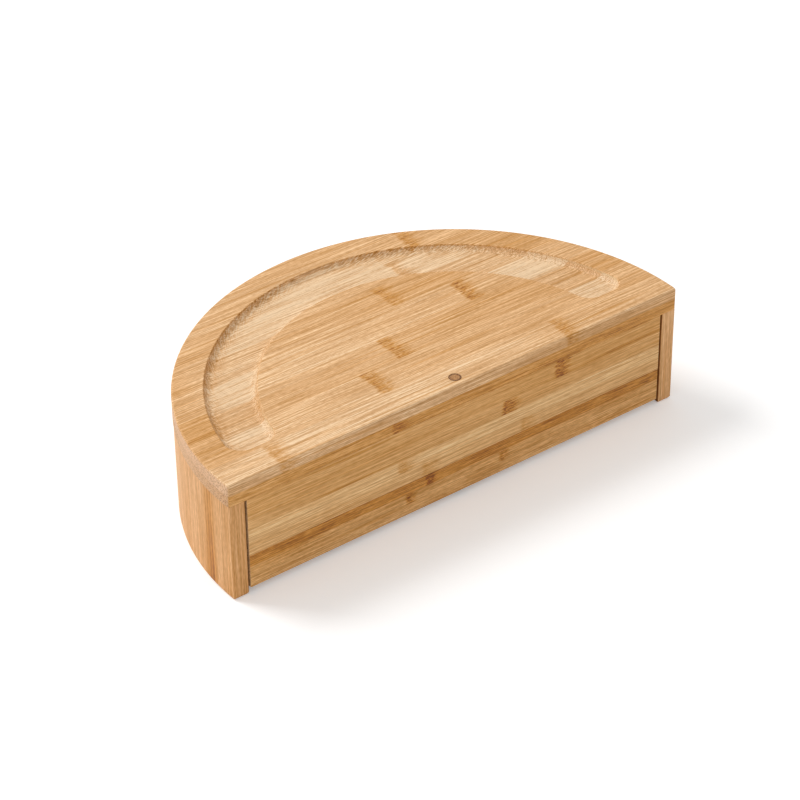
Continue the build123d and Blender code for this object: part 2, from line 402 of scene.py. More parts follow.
def table_strips(tree, place, rows, end):
    """Strips of chosen widths, each a row: start in mm, four tones, and its knots in mm.

    The tones are those of its left end, left half, right half, and of the groove's floor.
    A row ends with the strength of its knots.
    """
    low = rows[0][0]
    way_across = add(tree, "ShaderNodeMapRange",
                     {"Value": place.across, "From Min": low, "From Max": end})
    starts = [(row[0] - low) / (end - low) for row in rows]
    tones = [(start, row[1]) for start, row in zip(starts, rows)]
    ramp = add(tree, "ShaderNodeValToRGB", {"Fac": way_across}, stops=tones,
               interpolation="CONSTANT")
    tip, left, right = add(tree, "ShaderNodeSeparateColor", {0: ramp}).node.outputs
    milled = ramp.node.outputs["Alpha"]
    left_share = add(tree, "ShaderNodeMapRange",
                     {"Value": place.along, "From Min": left_half_from,
                      "From Max": left_half_to}, interpolation_type="SMOOTHSTEP")
    right_share = add(tree, "ShaderNodeMapRange",
                      {"Value": place.along, "From Min": right_half_from,
                       "From Max": right_half_to}, interpolation_type="SMOOTHSTEP")
    plain = add(tree, "ShaderNodeMix", {"Factor": left_share, 2: tip, 3: left})
    plain = add(tree, "ShaderNodeMix", {"Factor": right_share, 2: plain, 3: right})
    marks = []
    for number, (start, row) in enumerate(zip(starts, rows)):
        # A strip has two knots at most, and one that it lacks lies past the board's end
        knots = [knot / knot_span + 0.5 for knot in row[2]] + [1.0, 1.0]
        strip_seed = (number * 0.37 + 0.13) % 1.0
        marks.append((start, (knots[0], knots[1], strip_seed, row[3])))
    mark = add(tree, "ShaderNodeValToRGB", {"Fac": way_across}, stops=marks,
               interpolation="CONSTANT")
    first, second, seed = add(tree, "ShaderNodeSeparateColor", {0: mark}).node.outputs
    knots = [add(tree, "ShaderNodeMapRange",
                 {"Value": knot, "To Min": -knot_span / 2, "To Max": knot_span / 2})
             for knot in (first, second)]
    return plain, milled, seed, knots, mark.node.outputs["Alpha"]


def chance_strips(tree, place, pitch, first, tones, seed_number):
    """Even strips without knots, whose tone is drawn by chance."""
    moved = add(tree, "ShaderNodeMath", {0: place.across, 1: first}, operation="SUBTRACT")
    counted = add(tree, "ShaderNodeMath", {0: moved, 1: pitch}, operation="DIVIDE")
    number = add(tree, "ShaderNodeMath", {0: counted}, operation="FLOOR")
    shifted = add(tree, "ShaderNodeMath", {0: number, 1: seed_number}, operation="ADD")
    chance = add(tree, "ShaderNodeTexWhiteNoise", {"W": shifted}, out=1, noise_dimensions="1D")
    red, _, blue = add(tree, "ShaderNodeSeparateColor", {0: chance}).node.outputs
    tone = add(tree, "ShaderNodeMapRange", {"Value": red, "To Min": tones[0], "To Max": tones[1]})
    return tone, tone, blue, [], None


def fibre_place(tree, place, seed, wave):
    """Coordinates that follow the fibres: each strip starts elsewhere, and its fibres wander."""
    jump = add(tree, "ShaderNodeMath", {0: seed, 1: strip_jump, 2: place.along},
               operation="MULTIPLY_ADD")
    straight = add(tree, "ShaderNodeCombineXYZ", {0: jump, 1: place.across, 2: place.depth})
    wandering = add(tree, "ShaderNodeMapRange",
                    {"Value": streaks(tree, straight, 42, 22, 1.0),
                     "To Min": -fibre_wander * wave, "To Max": fibre_wander * wave})
    waved = add(tree, "ShaderNodeMath", {0: place.across, 1: wandering}, operation="ADD")
    return add(tree, "ShaderNodeCombineXYZ", {0: jump, 1: waved, 2: place.depth})


def fibre_lines(tree, fibres, run):
    """The figure that the fibres draw, from broad bands to fine lines and short pores."""
    lines = SimpleNamespace()
    lines.broad = streaks(tree, fibres, 170, 4.6, 3.0)
    lines.middling = streaks(tree, fibres, 75 * run, 1.7, 2.0)
    # The finest fibre lines are under half a millimetre; these are drawn coarser, to show
    lines.fine = add(tree, "ShaderNodeMapRange",
                     {"Value": streaks(tree, fibres, 38 * run, 0.46, 1.0), "From Min": 0.35,
                      "From Max": 0.65})
    lines.pores = streaks(tree, fibres, 3.2 * run, 0.5, 0.0)
    lines.mottle = streaks(tree, fibres, 60, 13, 2.0)
    hairlines = streaks(tree, fibres, 95, 1.3, 1.0)
    lines.pale_line = add(tree, "ShaderNodeMapRange",
                          {"Value": hairlines, "From Min": 0.6, "From Max": 0.74})
    lines.dark_line = add(tree, "ShaderNodeMapRange",
                          {"Value": hairlines, "From Min": 0.4, "From Max": 0.28})
    return lines


def fibre_bundles(tree, fibres, seed):
    """Cut fibre bundles: their height, and the brown specks that they make.

    They are about a millimetre apart, drawn a little coarser than they are.
    """
    cells_per_mm = (1 / bundle_length, 1 / bundle_spacing, 1 / bundle_spacing)
    bundle_place = add(tree, "ShaderNodeVectorMath", {0: fibres, 1: cells_per_mm},
                       operation="MULTIPLY")
    bundle = add(tree, "ShaderNodeTexVoronoi", {"Vector": bundle_place, "Scale": 1.0},
                 out="Distance")
    speck = add(tree, "ShaderNodeMapRange",
                {"Value": bundle, "From Min": 0.15, "From Max": 0.55, "To Min": 1.0,
                 "To Max": 0.0})
    # Some stalks have coarser bundles than others
    coarse = add(tree, "ShaderNodeMapRange", {"Value": seed, "To Min": 1.0, "To Max": 0.3})
    return bundle, add(tree, "ShaderNodeMath", {0: speck, 1: coarse}, operation="MULTIPLY")


def knot_marks(tree, fibres, along, knots, half_length):
    """Darkness of the knots: a brown patch, straight on one side and frayed on the other.

    It is broken up into short dark and pale dashes.
    """
    fray = add(tree, "ShaderNodeMapRange",
               {"Value": streaks(tree, fibres, 26, 1.1, 1.0), "From Min": 0.3, "From Max": 0.7,
                "To Min": -0.8 * half_length, "To Max": 0.8 * half_length})
    wander = add(tree, "ShaderNodeMapRange",
                 {"Value": streaks(tree, fibres, 60, 7, 1.0), "To Min": -knot_wander,
                  "To Max": knot_wander})
    dash = add(tree, "ShaderNodeMapRange",
               {"Value": streaks(tree, fibres, 2.4, 0.62, 1.0), "From Min": 0.37,
                "From Max": 0.63, "To Min": -1.0})
    darkest = None
    for knot in knots:
        away = add(tree, "ShaderNodeMath", {0: along, 1: knot}, operation="SUBTRACT")
        bent = add(tree, "ShaderNodeMath", {0: away, 1: wander}, operation="ADD")
        frayed = add(tree, "ShaderNodeMath", {0: bent, 1: fray}, operation="ADD")
        ragged = add(tree, "ShaderNodeMath", {0: fray, 1: -0.3, 2: bent},
                     operation="MULTIPLY_ADD")
        left_side = add(tree, "ShaderNodeMapRange",
                        {"Value": ragged, "From Min": -half_length - 1.6,
                         "From Max": -half_length + 1.2}, interpolation_type="SMOOTHSTEP")
        right_side = add(tree, "ShaderNodeMapRange",
                         {"Value": frayed, "From Min": 0.0, "From Max": 1.8 * half_length,
                          "To Min": 1.0, "To Max": 0.0}, interpolation_type="SMOOTHSTEP")
        patch = add(tree, "ShaderNodeMath", {0: left_side, 1: right_side}, operation="MULTIPLY")
        even = add(tree, "ShaderNodeMapRange",
                   {"Value": bent, "From Min": -half_length, "From Max": half_length,
                    "To Min": 0.74, "To Max": 0.5})
        body = add(tree, "ShaderNodeMath", {0: dash, 1: 0.36, 2: even},
                   operation="MULTIPLY_ADD")
        darkness = add(tree, "ShaderNodeMath", {0: body, 1: patch}, operation="MULTIPLY")
        if darkest is None:
            darkest = darkness
        else:
            darkest = add(tree, "ShaderNodeMath", {0: darkest, 1: darkness}, operation="MAXIMUM")
    return darkest


def torn_strokes(tree, place):
    """Short strokes at a slant to the groove's outer rim, as a cutter tears fibres there.

    A tear is about half a millimetre wide, drawn a little coarser.
    """
    angle = add(tree, "ShaderNodeMath", {0: place.x, 1: place.y}, operation="ARCTAN2")
    arc = add(tree, "ShaderNodeMath", {0: angle, 1: groove_outer_radius / mm},
              operation="MULTIPLY")
    unrolled = add(tree, "ShaderNodeCombineXYZ", {0: arc, 1: place.distance})
    turned = add(tree, "ShaderNodeVectorRotate", {"Vector": unrolled, "Angle": tear_slant},
                 rotation_type="Z_AXIS")
    return streaks(tree, turned, tear_length, tear_width, 0.0)


def groove_marks(tree, place, milled):
    """Masks for the groove: ring, floor, torn fibre ends, and painted shade at its rim.

    The tears are thickest right under the outer rim, where it crosses the fibres.
    """
    low = add(tree, "ShaderNodeMapRange",
              {"Value": place.z, "From Min": milled - 0.5, "From Max": milled, "To Min": 1.0,
               "To Max": 0.0})
    inside = add(tree, "ShaderNodeMath", {0: place.distance, 1: groove_outer_radius / mm + 1.0},
                 operation="LESS_THAN")
    behind = add(tree, "ShaderNodeMath", {0: place.y, 1: (groove_front_y - pin.y) / mm - 1.0},
                 operation="GREATER_THAN")
    ringed = add(tree, "ShaderNodeMath", {0: inside, 1: behind}, operation="MULTIPLY")
    floor_share = add(tree, "ShaderNodeMath", {0: low, 1: ringed}, operation="MULTIPLY")

    slope = add(tree, "ShaderNodeMapRange",
                {"Value": place.facing_z, "From Min": 0.8, "From Max": 0.985, "To Min": 1.0,
                 "To Max": 0.0})
    outer_side = add(tree, "ShaderNodeMapRange",
                     {"Value": place.distance, "From Min": groove_inner_radius / mm + 12.0,
                      "From Max": groove_outer_radius / mm - 12.0, "To Min": 0.12})
    cove = add(tree, "ShaderNodeMath", {0: slope, 1: outer_side}, operation="MULTIPLY")
    under_rim = add(tree, "ShaderNodeMapRange",
                    {"Value": place.distance, "From Min": groove_outer_radius / mm - 10.0,
                     "From Max": groove_outer_radius / mm - 2.5, "To Max": 0.9})
    on_floor = add(tree, "ShaderNodeMath", {0: under_rim, 1: low}, operation="MULTIPLY")

    # Where the rim runs along the fibres the cut stays clean, as it does at the right-hand end
    sideways = add(tree, "ShaderNodeMath", {0: place.x, 1: place.distance}, operation="DIVIDE")
    aslant = add(tree, "ShaderNodeMath", {0: sideways}, operation="ABSOLUTE")
    across_fibres = add(tree, "ShaderNodeMapRange",
                        {"Value": aslant, "From Min": 0.02, "From Max": 0.2, "To Min": 0.25})
    clean_end = add(tree, "ShaderNodeMapRange",
                    {"Value": sideways, "From Min": 0.3, "From Max": 0.93, "To Min": 1.0,
                     "To Max": 0.15})
    tear = add(tree, "ShaderNodeMath", {0: cove, 1: on_floor}, operation="MAXIMUM")
    for mask in (ringed, across_fibres, clean_end):
        tear = add(tree, "ShaderNodeMath", {0: tear, 1: mask}, operation="MULTIPLY")

    # Painted shade: the steep edge right at the rim is darkened as in shadow, more so to the left
    painted_rim_shade = add(tree, "ShaderNodeMapRange",
                   {"Value": place.facing_z, "From Min": 0.3, "From Max": 0.75, "To Min": 1.0,
                    "To Max": 0.0})
    left_end = add(tree, "ShaderNodeMapRange",
                   {"Value": sideways, "From Min": -0.85, "From Max": 0.2, "To Min": 1.0,
                    "To Max": 0.0})
    for mask in (tear, left_end):
        painted_rim_shade = add(tree, "ShaderNodeMath", {0: painted_rim_shade, 1: mask}, operation="MULTIPLY")
    return ringed, floor_share, tear, painted_rim_shade


def stain_mark(tree, place, stain, direction):
    """Darkening by a stain, a ramp along the stain's line; on a wall it is strongest low down."""
    low, high = stain[0][0], stain[-1][0]
    stain_place = add(tree, "ShaderNodeMapRange",
                      {"Value": place.stain_along, "From Min": low, "From Max": high})
    stops = [((at - low) / (high - low), (depth, depth, depth, 1.0)) for at, depth in stain]
    stained = add(tree, "ShaderNodeValToRGB", {"Fac": stain_place}, stops=stops)
    if direction == "round the wall":
        lower = add(tree, "ShaderNodeMapRange",
                    {"Value": place.z, "From Max": wall_top / mm, "To Min": 1.25, "To Max": 0.75})
        stained = add(tree, "ShaderNodeMath", {0: stained, 1: lower}, operation="MULTIPLY")
    return stained


def painted_gap_shade(tree, place):
    """Share of painted shade on a wall's inner face: the shadow in the gap beside the tray.

    It is full by the front, so that the narrow gap looks dark. The tray's wall lies wholly
    inside that face, so the shade covers all of it.
    """
    inner_face = add(tree, "ShaderNodeMapRange",
                     {"Value": place.distance, "From Min": wall_inner_radius / mm + 0.1,
                      "From Max": wall_inner_radius / mm + 0.5, "To Min": 1.0, "To Max": 0.0})
    by_front = add(tree, "ShaderNodeMapRange",
                   {"Value": place.y, "From Min": (front_y - pin.y) / mm,
                    "From Max": (front_y - pin.y) / mm + 14.0, "To Min": 1.0, "To Max": 0.25})
    return add(tree, "ShaderNodeMath", {0: inner_face, 1: by_front}, operation="MULTIPLY")


def bamboo(name, strips, direction="along x", milled=None, stain=None, front_side_shade=0.0,
           wave=0.15, contrast=1.0, run=1.0, tint=(1.0, 1.0, 1.0), knot_depth=0.35,
           knot_length=4.4, grain=end_grain):
    """Bamboo strips glued side by side and planed: satin, streaked along the fibres.

    strips is rows and their end, or the values of even strips. milled is the height in mm under
    which the groove's floor shows its own tone. stain is a ramp of darkening against height in
    mm, or against the way round the wall. The front's tone shift is painted shade on faces
    turned to the front, against the other faces. wave is how far in mm the fibres wander, and
    contrast how strongly they show; run is the length of their lines against the board's.
    tint multiplies every colour. knot_depth is how far knots darken the tone, and knot_length
    half their length in mm. grain is the pale and the brown of the cut fibre ends.
    """
    material, tree, surface = new_material(name)
    place = wood_place(tree, direction)
    if isinstance(strips, dict):
        tone, milled_tone, seed, knots, strength = chance_strips(tree, place, **strips)
    else:
        tone, milled_tone, seed, knots, strength = table_strips(tree, place, *strips)
    fibres = fibre_place(tree, place, seed, wave)
    lines = fibre_lines(tree, fibres, run)
    bundle, speck = fibre_bundles(tree, fibres, seed)

    # Where the surface cuts across the fibres, the bundles show as specks
    steep = add(tree, "ShaderNodeMath", {0: place.end_facing}, operation="ABSOLUTE")
    cut_fibres = add(tree, "ShaderNodeMapRange",
                     {"Value": steep, "From Min": 0.4, "From Max": 0.9},
                     interpolation_type="SMOOTHSTEP")
    cut_speck = add(tree, "ShaderNodeMath", {0: speck, 1: cut_fibres}, operation="MULTIPLY")
    torn_height = add(tree, "ShaderNodeMath", {0: bundle, 1: cut_fibres}, operation="MULTIPLY")

    # Tone: the strip's own, shifted by shares of everything that pales or darkens it
    parts = [(lines.broad, 0.22 * contrast), (lines.middling, 0.28 * contrast),
             (lines.fine, 0.28 * contrast), (lines.pores, 0.24 * contrast),
             (lines.mottle, 0.13)]
    shift = -sum(share for _, share in parts) / 2
    parts += [(lines.pale_line, 0.08 * contrast), (lines.dark_line, -0.18 * contrast),
              (cut_speck, -0.14)]
    # Brightness: hard bundles and soft wood take the light differently, beside their colour
    brighter = [(lines.fine, 0.26 * contrast), (lines.pores, 0.34 * contrast),
                (lines.middling, 0.1 * contrast)]
    if milled is not None:
        ringed, floor_share, tear, painted_rim_shade = groove_marks(tree, place, milled)
        stroke = torn_strokes(tree, place)
        stroke_dark = add(tree, "ShaderNodeMapRange",
                          {"Value": stroke, "From Min": 0.38, "From Max": 0.62,
                           "To Min": 1.0, "To Max": -0.1})
        tear_dark = add(tree, "ShaderNodeMath", {0: tear, 1: stroke_dark}, operation="MULTIPLY")
        # The milled floor is a little paler and duller than the planed face
        tone = add(tree, "ShaderNodeMix", {"Factor": floor_share, 2: tone, 3: milled_tone})
        # The rim's share is painted shade on its steep edge
        parts += [(tear_dark, -0.28), (painted_rim_shade, -0.14), (floor_share, 0.06)]
        brighter += [(painted_rim_shade, -0.06), (tear, -0.04), (floor_share, -0.05)]
        tear_height = add(tree, "ShaderNodeMath", {0: tear, 1: stroke}, operation="MULTIPLY")
        tear_height = add(tree, "ShaderNodeMath", {0: tear_height, 1: 0.12}, operation="MULTIPLY")
        torn_height = add(tree, "ShaderNodeMix",
                          {"Factor": ringed, 2: torn_height, 3: tear_height})
        unspecked = add(tree, "ShaderNodeMapRange",
                        {"Value": ringed, "To Min": 1.0, "To Max": 0.2})
        speck = add(tree, "ShaderNodeMath", {0: speck, 1: unspecked}, operation="MULTIPLY")
        grain = [add(tree, "ShaderNodeMix", {"Factor": ringed, 6: planed, 7: cut}, out=2,
                     data_type="RGBA")
                 for planed, cut in zip(grain, milled_end_grain)]
    if knots:
        knot_dark = knot_marks(tree, fibres, place.along, knots, knot_length)
        knot_dark = add(tree, "ShaderNodeMath", {0: knot_dark, 1: strength},
                        operation="MULTIPLY")
        parts.append((knot_dark, -knot_depth))
    # Painted shade: faces turned to the front are darkened
    if front_side_shade:
        front = add(tree, "ShaderNodeMapRange",
                    {"Value": place.facing_y, "From Min": -0.9, "From Max": -0.4,
                     "To Min": 1.0, "To Max": 0.0})
        parts.append((front, front_side_shade))
    if stain:
        parts.append((stain_mark(tree, place, stain, direction), -1.0))
    # Painted shade: a wall's inner face is darkened, most by the front, for the shadow in the gap
    if direction == "round the wall":
        gap_shade = painted_gap_shade(tree, place)
        parts.append((gap_shade, -0.6))
        brighter.append((gap_shade, -0.45))

    total = add(tree, "ShaderNodeMath", {0: tone, 1: shift}, operation="ADD")
    for part, share in parts:
        total = add(tree, "ShaderNodeMath", {0: part, 1: share, 2: total},
                    operation="MULTIPLY_ADD")
    colour = add(tree, "ShaderNodeValToRGB", {"Fac": total}, stops=bamboo_tones)
    end_colour = add(tree, "ShaderNodeMix", {"Factor": speck, 6: grain[0], 7: grain[1]},
                     out=2, data_type="RGBA")
    end_share = add(tree, "ShaderNodeMapRange",
                    {"Value": steep, "From Min": 0.68, "From Max": 0.95, "To Max": 0.75},
                    interpolation_type="SMOOTHSTEP")
    mixed = add(tree, "ShaderNodeMix", {"Factor": end_share, 6: colour, 7: end_colour},
                out=2, data_type="RGBA")
    bright = 1.0 - 0.35 * contrast
    for part, share in brighter:
        bright = add(tree, "ShaderNodeMath", {0: part, 1: share, 2: bright},
                     operation="MULTIPLY_ADD")
    tinted = add(tree, "ShaderNodeVectorMath", {0: mixed, 1: tint}, operation="MULTIPLY")
    shaded = add(tree, "ShaderNodeVectorMath", {0: tinted, "Scale": bright}, operation="SCALE")

    # Relief: fine fibre lines, and torn fibre ends where a cutter crossed them
    line_height = add(tree, "ShaderNodeMath", {0: lines.fine, 1: 0.1 * contrast},
                      operation="MULTIPLY")
    height = add(tree, "ShaderNodeMath", {0: torn_height, 1: 1.2, 2: line_height},
                 operation="MULTIPLY_ADD")
    bump = add(tree, "ShaderNodeBump",
               {"Height": height, "Strength": 0.7, "Distance": 0.2 * mm})
    gloss = add(tree, "ShaderNodeMapRange",
                {"Value": lines.broad, "To Min": 0.46, "To Max": 0.62})
    shader = add(tree, "ShaderNodeBsdfPrincipled",
                 {"Base Color": shaded, "Roughness": gloss, "Normal": bump, "IOR": 1.46})
    tree.links.new(shader, surface)
    return material


# Width of the board's strips, and the first joint between two of them behind the pin, in mm
strip_width = 21.2
first_joint = 10.6


def board_row(number, tones, *knots, strength=1.0):
    """A strip of the board: its number from the front, its four tones, and its knots in mm."""
    return (first_joint + (number - 1) * strip_width, tones, knots, strength)


board_rows = [
    board_row(0, (0.82, 0.86, 0.76, 0.85), -112.7, 76.9),
    board_row(1, (0.66, 0.79, 0.68, 0.89), -34.7, strength=1.3),
    board_row(2, (0.57, 0.73, 0.63, 0.69), -7.7, strength=1.2),
    board_row(3, (0.74, 0.81, 0.72, 0.92), 57.8, strength=1.5),
    board_row(4, (0.62, 0.73, 0.62, 0.77), 20.2, strength=0.85),
    board_row(5, (0.76, 0.72, 0.66, 0.89), 45.0),
    board_row(6, (0.78, 0.78, 0.71, 0.90), 65.0, strength=1.15),
    board_row(7, (0.72, 0.72, 0.71, 0.80)),
]
under_rows = [
    board_row(0, (0.54, 0.50, 0.45, 0.5), -42.0),
    board_row(1, (0.60, 0.60, 0.66, 0.5), 96.0),
    board_row(2, (0.66, 0.62, 0.56, 0.5), -63.0),
    board_row(3, (0.56, 0.56, 0.62, 0.5), 21.0),
    board_row(4, (0.62, 0.66, 0.60, 0.5), -88.0),
    board_row(5, (0.52, 0.56, 0.58, 0.5), 57.0),
    board_row(6, (0.64, 0.62, 0.56, 0.5), -24.0),
    board_row(7, (0.58, 0.58, 0.60, 0.5)),
]
board_end = first_joint + (len(board_rows) - 1) * strip_width

# The rail's strips lie one over the other: a row starts at a height above the ground, in mm
rail_rows = [
    (base_top / mm, (0.76, 0.77, 0.73, 0.7), (-22.2, 45.0), 0.75),
    (32.2, (0.82, 0.82, 0.83, 0.8), (-38.0,), 1.1),
    (40.3, (0.66, 0.63, 0.61, 0.7), (32.0,), 2.0),
    (49.0, (0.57, 0.60, 0.53, 0.7), (69.5,), 1.75),
]


def base_rows(layer, front_knots):
    """Strips of one layer of the tray's base. Only the front one shows when the tray is shut."""
    rows = [board_row(0, (0.66, 0.66, 0.66, 0.5), *front_knots, strength=1.5)]
    for number in range(1, len(board_rows)):
        # Tones and knots that step about between their limits, without an order that shows
        tone = 0.5 + 0.14 * ((number * 3 + layer * 2) % 5) / 4
        knot = (number * 67 + layer * 29) % 180 - 90
        rows.append(board_row(number, (tone,) * 4, knot))
    return rows


# The board's faces turned to the front are a little darker: painted shade
board_bamboo = bamboo("planed_bamboo_board", (board_rows, board_end),
                      milled=milled_top / mm, front_side_shade=-0.07,
                      grain=(linear("#E6BA92"), linear("#A27553")))
under_bamboo = bamboo("planed_bamboo_board_underside", (under_rows, board_end), wave=0.6,
                      tint=(1.06, 1.02, 0.83), grain=(linear("#D4AC90"), linear("#93664C")))
rail_bamboo = bamboo("planed_bamboo_tray_rail", (rail_rows, tray_top / mm),
                     direction="along x, strips up", wave=0.3, contrast=0.8, run=1.2,
                     tint=(1.06, 1.04, 0.88), knot_length=4.6, knot_depth=0.33)

# Of the base's three layers the uppermost is the darkest; places are heights in mm
base_stain = [(base_bottom / mm, 0.0), (base_top / mm - 6.8, 0.0), (base_top / mm - 6.2, 0.3),
              (base_top / mm, 0.36)]
base_bamboos = [
    bamboo(f"planed_bamboo_tray_base_{layer + 1}", (base_rows(layer, front_knots), board_end),
           wave=0.5, tint=(1.05, 1.01, 0.83), knot_length=3.2, stain=base_stain)
    for layer, front_knots in enumerate(((), (-35.0, 28.2), (-21.8,)))]

# The curved wall has a narrow stain by its left end; places are in mm round it from its middle
wall_stain = [(-242.0, 0.09), (-226.0, 0.13), (-224.5, 0.44), (-218.0, 0.35), (-214.0, 0.12),
              (-205.0, 0.08), (-190.0, 0.06), (-178.0, 0.0), (210.0, 0.0), (242.0, 0.08)]
wall_bamboo = bamboo("bent_bamboo_wall",
                     dict(pitch=20.5, first=-216.0, tones=(0.71, 0.79), seed_number=3.0),
                     direction="round the wall", wave=0.1, contrast=0.8,
                     tint=(1.04, 0.985, 0.92), stain=wall_stain)
tray_wall_bamboo = bamboo("bent_bamboo_tray_wall",
                          dict(pitch=19.0, first=-8.0, tones=(0.6, 0.8), seed_number=41.0),
                          direction="round the wall", wave=0.1, contrast=0.7,
                          tint=(1.04, 0.985, 0.92))


def sawn_plug_bamboo():
    """Bamboo dowel sawn off flush: dark close fibre ends, darkest at its rim."""
    material, tree, surface = new_material("sawn_bamboo_plug")
    spot = add(tree, "ShaderNodeTexCoord", out="Object")
    grown = add(tree, "ShaderNodeVectorMath", {0: spot, 1: (1 / mm, 1 / mm, 0.1 / mm)},
                operation="MULTIPLY")
    fibre_ends = add(tree, "ShaderNodeTexVoronoi", {"Vector": grown, "Scale": 1.5},
                     out="Distance")
    cloud = add(tree, "ShaderNodeTexNoise", {"Vector": grown, "Scale": 0.5, "Detail": 3.0})
    tone = add(tree, "ShaderNodeMath", {0: cloud, 1: 0.9, 2: fibre_ends},
               operation="MULTIPLY_ADD")
    wood = add(tree, "ShaderNodeValToRGB", {"Fac": tone},
               stops=[(0.35, linear("#744420")), (0.75, linear("#A36C3C")),
                      (1.0, linear("#BE8C58"))])
    from_axis = add(tree, "ShaderNodeVectorMath", {0: spot, 1: (pin.x, pin.y, 0)},
                    operation="SUBTRACT")
    in_plan = add(tree, "ShaderNodeVectorMath", {0: from_axis, 1: (1, 1, 0)},
                  operation="MULTIPLY")
    distance = add(tree, "ShaderNodeVectorMath", {0: in_plan}, out=1, operation="LENGTH")
    ragged = add(tree, "ShaderNodeMath", {0: cloud, 1: 1.8 * mm, 2: distance},
                 operation="MULTIPLY_ADD")
    rim = add(tree, "ShaderNodeMapRange",
              {"Value": ragged, "From Min": plug_radius - 0.5 * mm,
               "From Max": plug_radius + 0.6 * mm, "To Max": 0.9})
    colour = add(tree, "ShaderNodeMix", {"Factor": rim, 6: wood, 7: linear("#5E3414")}, out=2,
                 data_type="RGBA")
    bump = add(tree, "ShaderNodeBump",
               {"Height": fibre_ends, "Strength": 0.6, "Distance": 0.15 * mm})
    shader = add(tree, "ShaderNodeBsdfPrincipled",
                 {"Base Color": colour, "Roughness": 0.7, "Normal": bump})
    tree.links.new(shader, surface)
    return material


def turned_dowel_bamboo():
    """Bamboo dowel turned smooth: pale, with fine straight fibres up its length."""
    material, tree, surface = new_material("turned_bamboo_dowel")
    spot = add(tree, "ShaderNodeTexCoord", out="Object")
    drawn = add(tree, "ShaderNodeVectorMath", {0: spot, 1: (1.3 / mm, 1.3 / mm, 0.04 / mm)},
                operation="MULTIPLY")
    fibre = add(tree, "ShaderNodeTexNoise", {"Vector": drawn, "Scale": 1.0, "Detail": 2.0})
    colour = add(tree, "ShaderNodeValToRGB", {"Fac": fibre},
                 stops=[(0.3, linear("#C79A66")), (0.7, linear("#E6C292"))])
    shader = add(tree, "ShaderNodeBsdfPrincipled", {"Base Color": colour, "Roughness": 0.6})
    tree.links.new(shader, surface)
    return material


def zinc_plated_steel():
    """Zinc-plated steel: a grey metal with a faint cloudy plating."""
    material, tree, surface = new_material("zinc_plated_steel")
    spot = add(tree, "ShaderNodeTexCoord", out="Object")
    plating = add(tree, "ShaderNodeTexNoise", {"Vector": spot, "Scale": 0.6 / mm, "Detail": 3.0})
    colour = add(tree, "ShaderNodeValToRGB", {"Fac": plating},
                 stops=[(0.3, linear("#B4B8BC")), (0.7, linear("#CDD1D4"))])
    gloss = add(tree, "ShaderNodeMapRange", {"Value": plating, "To Min": 0.28, "To Max": 0.45})
    shader = add(tree, "ShaderNodeBsdfPrincipled",
                 {"Base Color": colour, "Roughness": gloss, "Metallic": 1.0})
    tree.links.new(shader, surface)
    return material


def moulded_nylon(name, dark, pale, look):
    """Nylon 6 as it leaves the mould: a little glossy, with a grain of half a millimetre."""
    material, tree, surface = new_material(name)
    spot = add(tree, "ShaderNodeTexCoord", out="Object")
    grain = add(tree, "ShaderNodeTexNoise", {"Vector": spot, "Scale": 2.0 / mm, "Detail": 2.0})
    colour = add(tree, "ShaderNodeValToRGB", {"Fac": grain},
                 stops=[(0.3, linear(dark)), (0.7, linear(pale))])
    bump = add(tree, "ShaderNodeBump",
               {"Height": grain, "Strength": 0.3, "Distance": 0.03 * mm})
    shader = add(tree, "ShaderNodeBsdfPrincipled",
                 {"Base Color": colour, "IOR": 1.53, "Normal": bump, **look})
    tree.links.new(shader, surface)
    return material


plug_material = sawn_plug_bamboo()
dowel_material = turned_dowel_bamboo()
steel_material = zinc_plated_steel()
# Undyed nylon is milky, and lets a little light in; the glides are dyed dark brown
nylon_material = moulded_nylon("moulded_nylon", "#E6E2D8", "#F0EDE4",
                               {"Roughness": 0.42, "Subsurface Weight": 0.15,
                                "Subsurface Scale": 1.0 * mm})
glide_material = moulded_nylon("moulded_brown_nylon", "#6A5A4E", "#75655A", {"Roughness": 0.45})

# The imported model's own pieces that stay, and what they are made of
for material, nodes in (
        (dowel_material, ("wall_dowels", "front_dowels", "rim_dowels")),
        (steel_material, ("pivot_screw", "pivot_washer", "pivot_nut")),
        (nylon_material, ("upper_bush", "lower_bush"))):
    for node in nodes:
        frame["nodes"][node].material_slots[0].material = material

# Upper layer of the board: its groove is cut, the groove's rim is eased, and the plug's hole
groove = plate(groove_outer_radius, groove_front_y, groove_floor_z, board_top + groove_bit_rise,
               corner=groove_corner_round, inner_radius=groove_inner_radius,
               inner_corner=groove_corner_round)
round_over(groove, edges_at(groove, groove_floor_z), groove_cove_round, 10)
board = plate(board_radius, front_y, board_middle, board_top)
round_over(board, edges_at(board, board_top), board_edge_round)
round_over(board, upright_corners(board), board_corner_round)
board = carve(board, groove)
groove_rim = [edge for edge in edges_at(board, board_top)
              if edge.calc_face_angle(0) > rim_angle
              and all(hypot(v.co.x - pin.x, v.co.y - pin.y) < rim_reach for v in edge.verts)]
round_over(board, groove_rim, groove_rim_round, 3)
board = drill(board, plug_hole_radius, board_middle - overrun, board_top + overrun)
make_piece(board, "board_top", "housing", board_bamboo, ["board_top_ply"])

# Lower layer of the board, with the screw's hole and the seat of its head
under = plate(board_radius, front_y, wall_top, board_middle)
round_over(under, edges_at(under, wall_top), board_under_chamfer, 1)
round_over(under, upright_corners(under), board_corner_round)
under = drill(under, screw_hole_radius, wall_top - overrun, board_middle + overrun)
under = drill(under, plug_hole_radius, screw_head_seat, board_middle + overrun)
make_piece(under, "board_underside", "housing", under_bamboo,
           ["board_under_ply"])

